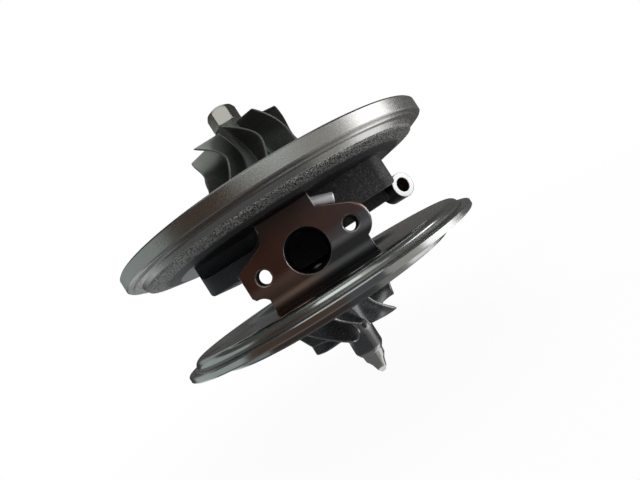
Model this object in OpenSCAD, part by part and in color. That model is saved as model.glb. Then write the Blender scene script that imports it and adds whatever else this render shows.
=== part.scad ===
// Turbocharger cartridge: bearing housing, backplate and rotor.
// Z runs along the shaft towards the compressor; z = 0 is the turbine flange's
// mounting face, and the oil drain faces -Y. All lengths in millimetres.

/* [Turbine flange] */
// Radius of the turbine flange's rim
tf_r = 58.9; // [57:0.2:64]
// Thickness of the rim
tf_t = 2.2; // [1.6:0.1:4]
// Radius of the raised shoulder inside the rim
shoulder_r = 55.4; // [52:0.2:55.6]
// Radius of the round along the shoulder's top edge
shoulder_round = 2.6; // [1.5:0.1:3]
// Radius of the fillet between shoulder and rim
shoulder_fillet = 0.5; // [0.3:0.1:1]
// Height of the shoulder over the mounting face
shoulder_h = 5.3; // [4.9:0.1:6]
// Radius of the spigot that centres the turbine housing
spigot_r = 47.9; // [46:0.1:51]
// Length of the spigot below the mounting face
spigot_h = 3.3; // [2:0.1:4]
// Wall of the spigot ring
spigot_wall = 5.6; // [4:0.2:8]

/* [Bearing housing] */
// Distance from the mounting face to the joint with the backplate
housing_h = 31.2; // [30.6:0.1:33]
// Radius of the barrel round the bearings
barrel_r = 16.5; // [16:0.1:18.5]
// Width of the top pad, across X
pad_w = 71.6; // [68:0.2:76]
// Depth of the top pad, along Y
pad_d = 51; // [49:0.5:56]
// Height of the top pad
pad_h = 11.2; // [10.4:0.1:12]
// Corner radius of the top pad
pad_corner = 5; // [3:0.5:7]
// Radius along the lower edge of the pad's two ends
pad_edge = 2.2; // [1:0.1:4]
// Radius of the cast scoop along the pad's upper edge
scoop_r = 5.4; // [4:0.1:6]

/* [Oil drain] */
// Distance from the shaft to the drain flange's face
drain_y = 38.5; // [36:0.5:44]
// Height of the drain's centre over the mounting face
drain_z = 16.5; // [16:0.1:17.5]
// Diameter of the drain hole
drain_d = 14; // [11:0.5:15]
// Spacing of the two bolt holes
drain_spacing = 30; // [28:0.5:33]
// Diameter of the bolt holes
drain_bolt_d = 4.6; // [4:0.1:6]
// Thickness of the drain flange
drain_t = 8; // [6:0.5:10]
// Radius of the rounded ear
ear_r = 6.3; // [5:0.1:6.5]

/* [Oil inlet] */
// Height of the oil inlet's centre over the mounting face
inlet_z = 21; // [20.5:0.1:22]
// Distance from the shaft to the inlet's face
inlet_y = 31; // [29:0.5:36]
// Diameter of the threaded inlet hole
inlet_d = 10; // [8:0.5:11]

/* [Coolant port] */
// Sideways place of the port's axis
port_x = 39.2; // [38:0.2:41]
// Height of the port's axis over the mounting face
port_z = 18; // [17.6:0.1:19]
// Angle by which the port is turned out from the drain's direction
port_turn = 26; // [15:1:35]
// Diameter of the port's boss
port_boss_d = 8.8; // [8:0.2:10]
// Diameter of the threaded port hole
port_d = 5; // [4:0.1:6]

/* [Backplate] */
// Radius of the backplate's rim
bp_r = 61; // [60:0.2:66]
// Thickness of the backplate
bp_t = 9.8; // [9:0.1:12]
// Thickness of the turned rim
bp_rim_t = 4.9; // [4:0.1:5.4]
// Width of the groove under the rim
bp_groove = 0.7; // [0.6:0.1:1.6]
// Radius of the turned band under the groove
bp_band_r = 56.4; // [56:0.2:59]
// Height of that band
bp_band_h = 2.2; // [1.2:0.1:2.4]
// Draft of that band from its upper to its lower edge
bp_band_taper = 1.2; // [0.4:0.1:1.4]
// Radius at the foot of the cast cone
bp_cone_r = 46; // [44:0.2:55]
// Thread diameter of the four screws
screw_d = 5; // [4:0.5:6]

/* [Shaft and bearings] */
// Diameter of the shaft's journals
journal_d = 8; // [7:0.1:8.6]
// Diameter of the shaft's stub, under the compressor wheel
stub_d = 6; // [5:0.1:6.4]
// Outside diameter of the journal bearings
bearing_od = 13; // [12:0.1:14]
// Length of each journal bearing
bearing_len = 5.8; // [5:0.1:6.2]
// Diameter of the seal boss beside the turbine wheel
seal_d = 17.2; // [15:0.2:18]
// Diameter of the flinger's sleeve
sleeve_d = 12.8; // [11:0.2:14]
// Thickness of the thrust bearing
thrust_t = 3; // [2.5:0.1:3.4]
// Radius of the thrust faces
thrust_r = 9; // [8:0.1:9.6]
// Running clearance, all round, of the journals
run_gap = 0.05; // [0.03:0.01:0.1]
// Clearance between turning and standing faces
face_gap = 0.3; // [0.2:0.05:0.4]

/* [Compressor wheel] */
// Radius of the wheel at its inlet
comp_in_r = 19.5; // [18:0.1:21]
// Radius of the wheel at its outlet
comp_out_r = 26.2; // [24:0.2:29]
// Length of the wheel, from back face to blade tips
comp_len = 26; // [23:0.5:28]
// How much further forward the blades start at the hub than at their tips
comp_rake = 2.9; // [0:0.1:4]
// Height of the blades at the outlet
comp_out_h = 4; // [3:0.1:5]
// Number of blades
comp_blades = 9; // [6:1:11]
// Angle that a blade wraps round the hub
comp_wrap = 31.5; // [20:0.5:40]
// Angle of the sweep back to the outlet
comp_sweep = 28; // [10:1:40]
// Width of the nut across its corners
nut_d = 12; // [11:0.1:13]
// Height of the nut
nut_h = 7.7; // [6.5:0.1:10]

/* [Turbine wheel] */
// Radius of the wheel at its inlet
turb_in_r = 22.5; // [21:0.1:25]
// Radius of the wheel at its outlet
turb_out_r = 18.1; // [17:0.1:19]
// Depth of the long blades' ends below the mounting face
turb_len = 19; // [17:0.1:21]
// Depth at which the short blades are cut back
turb_cut = 14; // [12.5:0.1:15]
// Number of blades, long and short in turn
turb_blades = 10; // [8:2:12]
// Angle that a blade wraps round the hub
turb_wrap = 45; // [30:1:55]
// Radius of the hub at the outlet
turb_hub_r = 5.75; // [5:0.05:6.5]
// Depth of the nose below the mounting face
turb_nose = 36.8; // [34:0.2:40]

/* [Hidden] */
$fn = 96;
eps = 0.01;
seat_gap = 0.01;
// Stations along the shaft, from the turbine end
recess_z = 2;
weld_z = 1;
seal_top = 10.4;
ring_t = 1.2;
ring_gap = 0.1;
ring_pitch = 2.6;
ring_first = 4.2;
cavity_bot = 9.6;
cavity_top = 12;
bear_step = 0.6;
bear_end = 0.4;
collar_depth = 2;
bear_t_z = cavity_top + bear_step;
collar_seat = housing_h - collar_depth;
bear_c_z = collar_seat - bear_end - bearing_len;
spacer_z = bear_t_z + bearing_len + face_gap;
spacer_len = bear_c_z - face_gap - spacer_z;
shoulder_z = collar_seat + face_gap;
collar_t = housing_h - face_gap - shoulder_z;
thrust_z = housing_h;
flinger_z = thrust_z + thrust_t + face_gap;
flinger_t = 1.6;
bp_face = housing_h + bp_t;
wheel_z = bp_face + 1;
nose_z = wheel_z + comp_len + comp_rake + 1.6;
nut_top = nose_z + nut_h;
// Radii
bore_r = bearing_od/2 + 2*run_gap;
seal_bore_r = seal_d/2 + 0.35;
sleeve_bore_r = sleeve_d/2 + 0.35;
ring_in = 1.5;
spigot_in = spigot_r - spigot_wall;
shield_t = 0.8;
thrust_or = 18.6;
pocket_r = thrust_or + 0.4;
// Pad, screws and plug
pad_x0 = -pad_w/2 + 1.2;
pad_y0 = -pad_d/2;
port_y = pad_y0 + 6.5;
port_len = 7.8;
screw_x = 27;
screw_y = 17.5;
screw_head_d = 1.75*screw_d;
screw_head_h = 0.75*screw_d;
screw_len = bp_t + 1.6*screw_d;
o_ring_r = 21.4;
o_ring_d = 1.6;
plug_r = 1.7;
plug_in = 3;
plug_out = 6.8;
plug_z = housing_h - 3.3;
plug_tilt = 19;
// Sloping right shoulder of the drain flange, which carries the plug
web_x = 8.7;
web_z = housing_h - 4.8;
ear_top_z = drain_z + 5.4;

// A ring about Z between two radii and two heights
module ring(r0, r1, z0, z1) {
  rotate_extrude() translate([r0, z0]) square([r1 - r0, z1 - z0]);
}

// A flat outline drawn in X and Z, pulled out along -Y from y0 to y1
module along_y(y0, y1) {
  translate([0, y0, 0]) rotate([90, 0, 0]) linear_extrude(y0 - y1) children();
}

// A rectangle with round corners
module round_rect(w, d, r) {
  square([w - 2*r, d], center = true);
  square([w, d - 2*r], center = true);
  for (x = [-1, 1], y = [-1, 1]) translate([x*(w/2 - r), y*(d/2 - r)]) circle(r);
}

// Point of a wheel's passage: t runs along it, v from hub to shroud
function lerp(a, b, v) = a + (b - a)*v;
function polar(m, phi) = [m[0]*sin(phi), -m[0]*cos(phi), m[1]];

function comp_hub(t) = [lerp(6.4, comp_out_r, pow(1 - cos(90*t), 1.15)),
  wheel_z + 1.2 + (comp_len + comp_rake - 1.2)*(1 - sin(90*t))];
function comp_tip(t) = [lerp(comp_in_r, comp_out_r, pow(1 - cos(90*t), 1.25)),
  wheel_z + 1.2 + comp_out_h + (comp_len - 1.2 - comp_out_h)*(1 - sin(90*t))];
function comp_phi(t) = t < 0.34 ? comp_wrap*sin(90*t/0.34)
  : comp_wrap - comp_sweep*pow(t - 0.34, 1.15);
function comp_pt(t, v) = polar(lerp(comp_hub(t), comp_tip(t), v), comp_phi(t));

turb_in_z = -1.9;
turb_in_h = 4.6;
function turb_hub(t) = [lerp(turb_hub_r, turb_in_r, pow(1 - sin(90*t), 1.1)),
  lerp(turb_in_z, -turb_len, pow(1 - cos(90*t), 0.9))];
function turb_tip(t) = [lerp(turb_out_r, turb_in_r, pow(1 - t, 2)),
  lerp(turb_in_z - turb_in_h, -turb_len, t)];
function turb_phi(t) = turb_wrap*pow(t, 1.6);
function turb_end(v, short) = short ? lerp(1, (turb_cut + turb_in_z - turb_in_h)
  /(turb_len + turb_in_z - turb_in_h), max(v, 0)) : 1;
function turb_pt(s, v, short) = let (t = s*turb_end(v, short))
  polar(lerp(turb_hub(t), turb_tip(t), v), turb_phi(t));

// A blade: a grid of points set off to both sides of its middle surface
module blade_skin(mid, nt, nv, thick_root, thick_tip) {
  function at(i, j) = mid[i][j];
  function du(i, j) = at(min(i + 1, nt), j) - at(max(i - 1, 0), j);
  function dv(i, j) = at(i, min(j + 1, nv)) - at(i, max(j - 1, 0));
  function nrm(i, j) = let (c = cross(du(i, j), dv(i, j))) c/norm(c);
  function th(i, j) = lerp(thick_root, thick_tip, j/nv)*(i == 0 || i == nt ? 0.6 : 1)/2;
  m = nv + 1;
  n = (nt + 1)*m;
  pts = [for (s = [1, -1]) for (i = [0 : nt]) for (j = [0 : nv]) at(i, j) + s*th(i, j)*nrm(i, j)];
  function q(a, b, c, d) = [[a, b, c], [a, c, d]];
  front = [for (i = [0 : nt - 1]) for (j = [0 : nv - 1])
    for (f = q(i*m + j, i*m + j + 1, (i + 1)*m + j + 1, (i + 1)*m + j)) f];
  back = [for (f = front) [f[2] + n, f[1] + n, f[0] + n]];
  ends = [for (j = [0 : nv - 1]) for (f = concat(q(j + n, j + 1 + n, j + 1, j),
    q(nt*m + j, nt*m + j + 1, nt*m + j + 1 + n, nt*m + j + n))) f];
  sides = [for (i = [0 : nt - 1]) for (f = concat(q(i*m, (i + 1)*m, (i + 1)*m + n, i*m + n),
    q(i*m + nv + n, (i + 1)*m + nv + n, (i + 1)*m + nv, i*m + nv))) f];
  polyhedron(pts, concat(front, back, ends, sides));
}

// Outline of the drain flange: flat left ear, round right ear, foot and upper web
module drain_outline() {
  ear_x = drain_spacing/2;
  difference() {
    union() {
      polygon([[-ear_x - 6.2, drain_z - 3.4], [-ear_x - 6.2, drain_z + 4.4],
        [-12.3, housing_h - 6.6], [-10.6, housing_h - 5.3], [-9.6, housing_h - 3.1],
        [-9.6, housing_h], [web_x, housing_h], [web_x, web_z],
        [ear_x + 3.2, ear_top_z], [ear_x + 2.6, drain_z], [ear_x + 2.6, shoulder_h - 1],
        [-17, shoulder_h - 1], [-17, drain_z - 5.1], [-ear_x - 5, drain_z - 5.1]]);
      translate([ear_x, drain_z]) circle(ear_r);
      translate([-20.2, drain_z - 8.4]) square([4, 4]);
    }
    translate([-20.2, drain_z - 8.4]) circle(3.8);
    translate([-24, shoulder_h - 1]) square([7.6, drain_z - 7.4 - shoulder_h]);
  }
}

// Turned body: flange, spigot, shoulder and barrel as one profile
module housing_turned() {
  rr = shoulder_round;
  ff = shoulder_fillet;
  rotate_extrude() {
    polygon([[0, recess_z], [spigot_in, recess_z], [spigot_in, -spigot_h],
      [spigot_r - 0.5, -spigot_h], [spigot_r, -spigot_h + 0.5], [spigot_r, 0],
      [tf_r - 0.4, 0], [tf_r, 0.4], [tf_r, tf_t - 0.3], [tf_r - 0.3, tf_t],
      [shoulder_r, tf_t], [shoulder_r, shoulder_h - rr], [shoulder_r - rr, shoulder_h - rr],
      [shoulder_r - rr, shoulder_h], [barrel_r + 8, shoulder_h + 0.5], [barrel_r + 3, shoulder_h + 2],
      [barrel_r, shoulder_h + 6], [barrel_r, housing_h], [0, housing_h]]);
    translate([shoulder_r - rr, shoulder_h - rr]) circle(rr);
    difference() {
      translate([shoulder_r - 0.5, tf_t - 0.5]) square(ff + 0.5);
      translate([shoulder_r + ff, tf_t + ff]) circle(ff);
    }
  }
}

// Casting: top pad, drain neck and flange, inlet and port bosses
module housing_cast() {
  intersection() {
    translate([pad_x0 + pad_w/2, 0, housing_h - pad_h])
      linear_extrude(pad_h) round_rect(pad_w, pad_d, pad_corner);
    along_y(pad_d, -pad_d) translate([pad_x0 + pad_w/2, housing_h])
      round_rect(pad_w, 2*pad_h, pad_edge);
  }
  // Coolant jacket under the right end of the pad, with the port's boss in front
  along_y(20, port_y + 2) translate([8, port_z - 1.7])
    square([port_x - 14, housing_h - pad_h - port_z + 3]);
  port_at() translate([0, 0, -port_len]) cylinder(d = port_boss_d, h = port_len);
  along_y(-drain_y + drain_t, -drain_y) drain_outline();
  along_y(-8, -drain_y + 1) translate([0, drain_z]) circle(drain_d/2 + 4);
  along_y(-8, -drain_y + 1) translate([-drain_d/2 - 4, shoulder_h - 1])
    square([drain_d + 8, drain_z - shoulder_h + 1]);
  along_y(pad_y0 + 1, -drain_y + 1) translate([-9.6, drain_z + 6])
    square([18.3, housing_h - drain_z - 6]);
  foot_r = 4.6;
  translate([-17, 0, 0]) rotate([90, 0, 90]) linear_extrude(drain_spacing/2 + 19.6) difference() {
    translate([-drain_y - foot_r, shoulder_h - 1]) square([foot_r + 1, foot_r + 1]);
    translate([-drain_y - foot_r, shoulder_h + foot_r]) circle(foot_r);
  }
  // Inlet boss, flat where it comes near the joint
  along_y(inlet_y, 8) intersection() {
    translate([0, inlet_z]) circle(inlet_d/2 + 4);
    translate([-inlet_d, shoulder_h]) square([2*inlet_d, housing_h - 0.6 - shoulder_h]);
  }
}

module bearing_housing() {
  color([0.24, 0.25, 0.27]) difference() {
    union() {
      housing_turned();
      housing_cast();
    }
    // Bores along the shaft
    ring(0, seal_bore_r, recess_z - 1, cavity_bot + 1);
    ring(0, bore_r + 6.4, cavity_bot, cavity_top);
    ring(0, bore_r, cavity_top - 1, collar_seat + 1);
    ring(0, thrust_r + 0.6, collar_seat, housing_h + 1);
    // Drain, with the way down from the thrust bearing
    along_y(-bore_r - 4, -drain_y - 1) translate([0, drain_z]) circle(d = drain_d);
    translate([0, -bore_r - 8, drain_z]) cylinder(r = 3.4, h = housing_h);
    for (s = [-1, 1]) translate([s*drain_spacing/2, -drain_y - 1, drain_z]) rotate([-90, 0, 0]) {
      cylinder(d = drain_bolt_d, h = drain_t + 2);
      cylinder(d1 = drain_bolt_d + 2.8, d2 = drain_bolt_d, h = 1.4);
    }
    // Oil inlet and its drilling to the bearings
    along_y(inlet_y + 1, inlet_y - 11) translate([0, inlet_z]) circle(d = inlet_d);
    along_y(inlet_y, 2) translate([0, inlet_z]) circle(1.5);
    // Coolant port
    port_at() translate([0, 0, -7]) cylinder(d = port_d, h = 8);
    // Cast scoop under the backplate, left of the drain flange
    translate([-10.4 - scoop_r, pad_y0 - 1.2, housing_h]) {
      sphere(scoop_r);
      rotate([0, -90, 0]) cylinder(r = scoop_r, h = pad_w);
    }
    // Screw holes, thrust pins and plug seat
    for (x = [-1, 1], y = [-1, 1]) translate([x*screw_x, y*screw_y, bp_face - screw_len - 1])
      cylinder(d = screw_d, h = screw_len);
    for (x = [-1, 1]) translate([x*14, 5, housing_h - 3]) cylinder(d = 2, h = 4);
    plug_at() translate([0, 0, -plug_in]) cylinder(r = plug_r, h = plug_in + plug_out + 1);
  }
}

// Face of the coolant port, with Z out of it
module port_at() {
  translate([port_x, port_y, port_z]) rotate([0, 0, port_turn]) rotate([90, 0, 0]) children();
}

// Seat of the plug: drilled into the drain flange's web, above its right shoulder
module plug_at() {
  translate([web_x, -drain_y + plug_r + 0.8, plug_z]) rotate([0, 90 + plug_tilt, 0]) children();
}

module gallery_plug() {
  color([0.75, 0.76, 0.78]) plug_at() difference() {
    union() {
      translate([0, 0, -plug_in]) cylinder(r = plug_r, h = plug_in + plug_out - 0.4);
      translate([0, 0, plug_out - 0.4]) cylinder(r1 = plug_r, r2 = plug_r - 0.4, h = 0.4);
    }
    translate([0, 0, plug_out - 1.4]) cylinder(d = 1.1*plug_r, h = 2, $fn = 6);
  }
}

module compressor_backplate() {
  z0 = housing_h;
  z1 = bp_face;
  band_z = z1 - bp_rim_t - bp_groove;
  color([0.55, 0.56, 0.58]) difference() {
    rotate_extrude() difference() {
      polygon([[0, z0], [bp_cone_r - 2, z0], [bp_cone_r, z0 + 0.3],
        [bp_band_r - bp_band_taper, band_z - bp_band_h], [bp_band_r, band_z],
        [bp_r - 2.2, band_z], [bp_r - 2.2, z1 - bp_rim_t],
        [bp_r - 0.4, z1 - bp_rim_t], [bp_r, z1 - bp_rim_t + 0.4], [bp_r, z1 - 0.5],
        [bp_r - 0.5, z1], [0, z1]]);
      // Shallow recess behind the compressor wheel, and the seat of the thrust end
      translate([0, z1 - 0.4]) square([comp_out_r + 1.5, 1]);
      translate([0, z0 - 1]) square([pocket_r, thrust_t + 1]);
      translate([0, z0 - 1]) square([thrust_r + 1.6, flinger_z + flinger_t + face_gap - z0 + 1]);
      translate([0, z0 - 1]) square([sleeve_bore_r, bp_t + 2]);
      translate([o_ring_r - o_ring_d/2, z0 - 1]) square([o_ring_d + 0.4, 1 + o_ring_d - 0.1]);
    }
    for (x = [-1, 1], y = [-1, 1]) translate([x*screw_x, y*screw_y, 0]) {
      translate([0, 0, z0 - 1]) cylinder(d = screw_d, h = bp_t + 2);
      translate([0, 0, z1 - screw_head_h]) cylinder(d = screw_head_d + 0.6, h = screw_head_h + 1);
    }
  }
}

// Socket-head screw, sunk below the backplate's face
module screw(x, y) {
  color([0.2, 0.2, 0.22]) translate([x, y, bp_face]) difference() {
    union() {
      translate([0, 0, -screw_head_h]) cylinder(d = screw_head_d, h = screw_head_h - 0.3);
      translate([0, 0, -screw_len]) cylinder(d = screw_d, h = screw_len - screw_head_h + eps);
    }
    translate([0, 0, -0.6*screw_head_h]) cylinder(d = 0.95*screw_d, h = screw_head_h, $fn = 6);
  }
}
module backplate_screw_1() screw(screw_x, screw_y);
module backplate_screw_2() screw(-screw_x, screw_y);
module backplate_screw_3() screw(-screw_x, -screw_y);
module backplate_screw_4() screw(screw_x, -screw_y);

module backplate_o_ring() {
  color([0.05, 0.05, 0.05]) rotate_extrude() intersection() {
    translate([o_ring_r, housing_h + o_ring_d/2 - 0.1]) circle(d = o_ring_d);
    translate([0, housing_h]) square([o_ring_r + o_ring_d, o_ring_d - 0.1]);
  }
}

module thrust_bearing() {
  color([0.72, 0.53, 0.25]) difference() {
    translate([0, 0, thrust_z]) cylinder(r = thrust_or, h = thrust_t);
    ring(0, stub_d/2 + 2.2 + 0.3, thrust_z - 1, thrust_z + thrust_t + 1);
    translate([-20, -thrust_or - 1, thrust_z - 1]) cube([40, thrust_or - 10, thrust_t + 2]);
    // Oil grooves of the thrust pads
    for (a = [0 : 60 : 300]) rotate([0, 0, a + 30]) translate([stub_d/2 + 2, -0.6, thrust_z + thrust_t - 0.5])
      cube([thrust_r - stub_d/2 - 2, 1.2, 1]);
    for (x = [-1, 1]) translate([x*14, 5, thrust_z - 1]) cylinder(d = 2, h = thrust_t + 2);
  }
}

module thrust_pin(s) {
  color([0.7, 0.7, 0.72]) translate([s*14, 5, housing_h - 3]) cylinder(d = 2, h = 3 + thrust_t - 0.2);
}
module thrust_pin_1() thrust_pin(-1);
module thrust_pin_2() thrust_pin(1);

module thrust_collar() {
  r0 = stub_d/2 + seat_gap;
  color([0.6, 0.61, 0.63]) {
    ring(r0, thrust_r, shoulder_z, shoulder_z + collar_t);
    ring(r0, stub_d/2 + 2.2, shoulder_z, flinger_z);
  }
}

module oil_flinger() {
  r0 = stub_d/2 + seat_gap;
  g0 = flinger_z + flinger_t + 1.4;
  color([0.6, 0.61, 0.63]) difference() {
    union() {
      ring(r0, thrust_r, flinger_z, flinger_z + flinger_t);
      ring(r0, sleeve_d/2, flinger_z, wheel_z);
    }
    ring(sleeve_d/2 - ring_in, sleeve_d/2 + 1, g0, g0 + ring_t + 2*ring_gap);
  }
}

// Split piston ring: stands still in its bore, clear of the turning groove
module piston_ring(r, z) {
  color([0.5, 0.5, 0.5]) difference() {
    ring(r - ring_in - 0.05, r, z + ring_gap, z + ring_gap + ring_t);
    translate([r - ring_in - 1, -0.2, z]) cube([ring_in + 2, 0.4, ring_t + 1]);
  }
}
module compressor_piston_ring() piston_ring(sleeve_bore_r, flinger_z + flinger_t + 1.4);
module turbine_piston_ring_1() piston_ring(seal_bore_r, ring_first);
module turbine_piston_ring_2() piston_ring(seal_bore_r, ring_first + ring_pitch);

// Floating journal bearing with six oil holes
module journal_bearing(z) {
  r0 = journal_d/2 + run_gap;
  r1 = bearing_od/2;
  color([0.72, 0.53, 0.25]) difference() {
    rotate_extrude() polygon([[r0, z + 0.3], [r0 + 0.3, z], [r1 - 0.5, z], [r1, z + 0.5],
      [r1, z + bearing_len - 0.5], [r1 - 0.5, z + bearing_len], [r0 + 0.3, z + bearing_len],
      [r0, z + bearing_len - 0.3]]);
    for (a = [0 : 60 : 300]) rotate([0, 0, a]) translate([r0 - 1, 0, z + bearing_len/2])
      rotate([0, 90, 0]) cylinder(d = 1.4, h = r1);
  }
}
module journal_bearing_compressor() journal_bearing(bear_c_z);
module journal_bearing_turbine() journal_bearing(bear_t_z);

module bearing_spacer() {
  color([0.55, 0.55, 0.57]) difference() {
    ring(journal_d/2 + 0.6, bore_r, spacer_z, spacer_z + spacer_len);
    ring(bore_r - 0.6, bore_r + 1, spacer_z + spacer_len/4, spacer_z + 3*spacer_len/4);
    for (a = [0 : 90 : 270]) rotate([0, 0, a + 45]) translate([0, 0, spacer_z + spacer_len/2])
      rotate([0, 90, 0]) cylinder(d = 0.4*spacer_len, h = bore_r + 1);
  }
}

module turbine_shaft() {
  color([0.66, 0.67, 0.69]) rotate_extrude() difference() {
    union() {
      translate([0, weld_z]) square([seal_d/2, seal_top - weld_z]);
      polygon([[0, seal_top - 1], [seal_d/2 - 1, seal_top - 1], [seal_d/2 - 1, seal_top],
        [journal_d/2 + 0.8, seal_top + 0.6], [journal_d/2, seal_top + 1.4],
        [journal_d/2, shoulder_z], [stub_d/2, shoulder_z], [stub_d/2, nut_top - 4.4],
        [stub_d/2 - 0.6, nut_top - 3.8], [0, nut_top - 3.8]]);
    }
    for (i = [0, 1]) translate([seal_d/2 - ring_in, ring_first + i*ring_pitch])
      square([ring_in + 1, ring_t + 2*ring_gap]);
    translate([journal_d/2 - 0.3, spacer_z]) square([1, spacer_len]);
  }
}

module turbine_wheel() {
  ns = 12;
  hub = [for (i = [0 : ns]) turb_hub(i/ns)];
  nose = turb_nose - turb_len;
  color([0.3, 0.31, 0.33]) {
    rotate_extrude() polygon(concat([[0, weld_z], [seal_d/2, weld_z], [seal_d/2, -0.4],
      [seal_d/2 + 0.8, turb_in_z + 0.9], [turb_in_r, turb_in_z + 0.9]], hub,
      [[turb_hub_r, -turb_len - 0.43*nose], [0.8*turb_hub_r, -turb_len - 0.52*nose],
       [0, -turb_len - 0.52*nose]]));
    intersection() {
      rotate_extrude() polygon([[0, -turb_len], [0.8*turb_hub_r, -turb_len - 0.5*nose],
        [0.6*turb_hub_r, -turb_len - 0.71*nose], [0.46*turb_hub_r, -turb_len - 0.77*nose],
        [0.32*turb_hub_r, -turb_len - 0.93*nose], [0.16*turb_hub_r, -turb_nose], [0, -turb_nose]]);
      translate([0, 0, -turb_nose - 1]) cylinder(r = 0.86*turb_hub_r, h = nose, $fn = 6);
    }
    for (k = [0 : turb_blades - 1]) rotate([0, 0, k*360/turb_blades - 50])
      blade_skin([for (i = [0 : 12]) [for (j = [0 : 3]) turb_pt(i/12, lerp(-0.07, 1, j/3), k % 2 == 1)]],
        12, 3, 1.7, 0.8);
  }
}

module heat_shield() {
  color([0.5, 0.5, 0.52]) rotate_extrude() polygon([
    [seal_d/2 + 0.7, 0.4], [32, 0.4], [34, recess_z], [spigot_in - 0.3, recess_z],
    [spigot_in - 0.3, recess_z - shield_t], [34.5, recess_z - shield_t],
    [32.5, 0.4 - shield_t], [seal_d/2 + 0.7, 0.4 - shield_t]]);
}

module compressor_wheel() {
  ns = 12;
  hub = [for (i = [0 : ns]) comp_hub(i/ns)];
  color([0.36, 0.38, 0.37]) difference() {
    union() {
      rotate_extrude() polygon(concat([[0, wheel_z], [0, nose_z], [5.6, nose_z], [6.2, nose_z - 0.6]],
        hub, [[comp_out_r, wheel_z + 0.6], [comp_out_r - 1, wheel_z]]));
      for (k = [0 : comp_blades - 1]) rotate([0, 0, k*360/comp_blades - 10])
        blade_skin([for (i = [0 : 14]) [for (j = [0 : 3]) comp_pt(i/14, lerp(-0.07, 1, j/3))]],
          14, 3, 1.5, 0.8);
    }
    translate([0, 0, wheel_z - 1]) cylinder(d = stub_d + 2*seat_gap, h = comp_len + comp_rake + 8);
  }
}

module compressor_nut() {
  color([0.75, 0.76, 0.78]) difference() {
    intersection() {
      translate([0, 0, nose_z]) cylinder(d = nut_d, h = nut_h, $fn = 6);
      rotate_extrude() polygon([[0, nose_z], [nut_d/2 - 0.5, nose_z], [nut_d/2, nose_z + 0.4],
        [nut_d/2, nut_top - 2.4], [nut_d/2 - 0.8, nut_top - 1.2], [nut_d/2 - 2.4, nut_top - 0.2],
        [nut_d/2 - 3.6, nut_top], [0, nut_top]]);
    }
    translate([0, 0, nose_z - 1]) cylinder(d = stub_d + 2*seat_gap, h = nut_h - 2.4);
  }
}

bearing_housing();
compressor_backplate();
backplate_screw_1();
backplate_screw_2();
backplate_screw_3();
backplate_screw_4();
backplate_o_ring();
thrust_bearing();
thrust_pin_1();
thrust_pin_2();
thrust_collar();
oil_flinger();
compressor_piston_ring();
journal_bearing_compressor();
bearing_spacer();
journal_bearing_turbine();
turbine_shaft();
turbine_wheel();
turbine_piston_ring_1();
turbine_piston_ring_2();
heat_shield();
compressor_wheel();
compressor_nut();
gallery_plug();
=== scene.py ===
import math

import bpy
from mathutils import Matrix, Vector


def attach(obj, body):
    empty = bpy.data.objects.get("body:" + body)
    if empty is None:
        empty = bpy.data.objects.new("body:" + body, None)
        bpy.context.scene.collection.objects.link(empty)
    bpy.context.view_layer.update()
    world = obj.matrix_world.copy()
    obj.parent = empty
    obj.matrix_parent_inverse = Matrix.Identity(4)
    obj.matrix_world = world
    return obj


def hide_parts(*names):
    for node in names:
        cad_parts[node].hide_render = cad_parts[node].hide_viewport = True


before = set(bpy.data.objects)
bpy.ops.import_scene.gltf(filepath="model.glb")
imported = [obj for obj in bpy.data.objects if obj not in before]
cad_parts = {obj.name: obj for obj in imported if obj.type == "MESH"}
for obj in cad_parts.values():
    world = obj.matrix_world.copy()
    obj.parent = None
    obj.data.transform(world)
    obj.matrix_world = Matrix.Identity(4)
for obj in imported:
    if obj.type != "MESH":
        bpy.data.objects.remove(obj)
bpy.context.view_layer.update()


# Bearing housing: one iron casting that carries the whole rotor in its bore. The turbine disc is
# turned, the drain face is milled, the port is bored, and the rest keeps its blasted casting skin.
def put(tree, kind, inputs=(), **settings):
    """A new node, with its settings made first and its inputs then set or linked."""
    made = tree.nodes.new(kind)
    for key, value in settings.items():
        setattr(made, key, value)
    for socket, value in dict(inputs).items():
        if isinstance(value, bpy.types.NodeSocket):
            tree.links.new(value, made.inputs[socket])
        else:
            made.inputs[socket].default_value = value
    return made


def calc(tree, operation, a, b):
    return put(tree, "ShaderNodeMath", {0: a, 1: b}, operation=operation).outputs[0]


def axes_of(tree, place):
    return put(tree, "ShaderNodeSeparateXYZ", {0: place}).outputs


def reach_of(tree, a, b):
    """How far a point stands from an axis, from its two places across that axis."""
    flat = put(tree, "ShaderNodeCombineXYZ", {0: a, 1: b}).outputs[0]
    return put(tree, "ShaderNodeVectorMath", {0: flat}, operation="LENGTH").outputs["Value"]


def noise(tree, place, per_metre, detail, roughness=0.5):
    inputs = {"Vector": place, "Scale": per_metre, "Detail": detail, "Roughness": roughness}
    return put(tree, "ShaderNodeTexNoise", inputs).outputs["Fac"]


def group_of(name, takes, gives, kind="ShaderNodeTree"):
    """A new node group, with its inputs and outputs as they are met inside it."""
    tree = bpy.data.node_groups.new(name, kind)
    for way, sockets in (("INPUT", takes), ("OUTPUT", gives)):
        for label, value in sockets.items():
            tree.interface.new_socket(label, in_out=way, socket_type="NodeSocket" + value)
    return tree, put(tree, "NodeGroupInput").outputs, put(tree, "NodeGroupOutput").inputs


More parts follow.
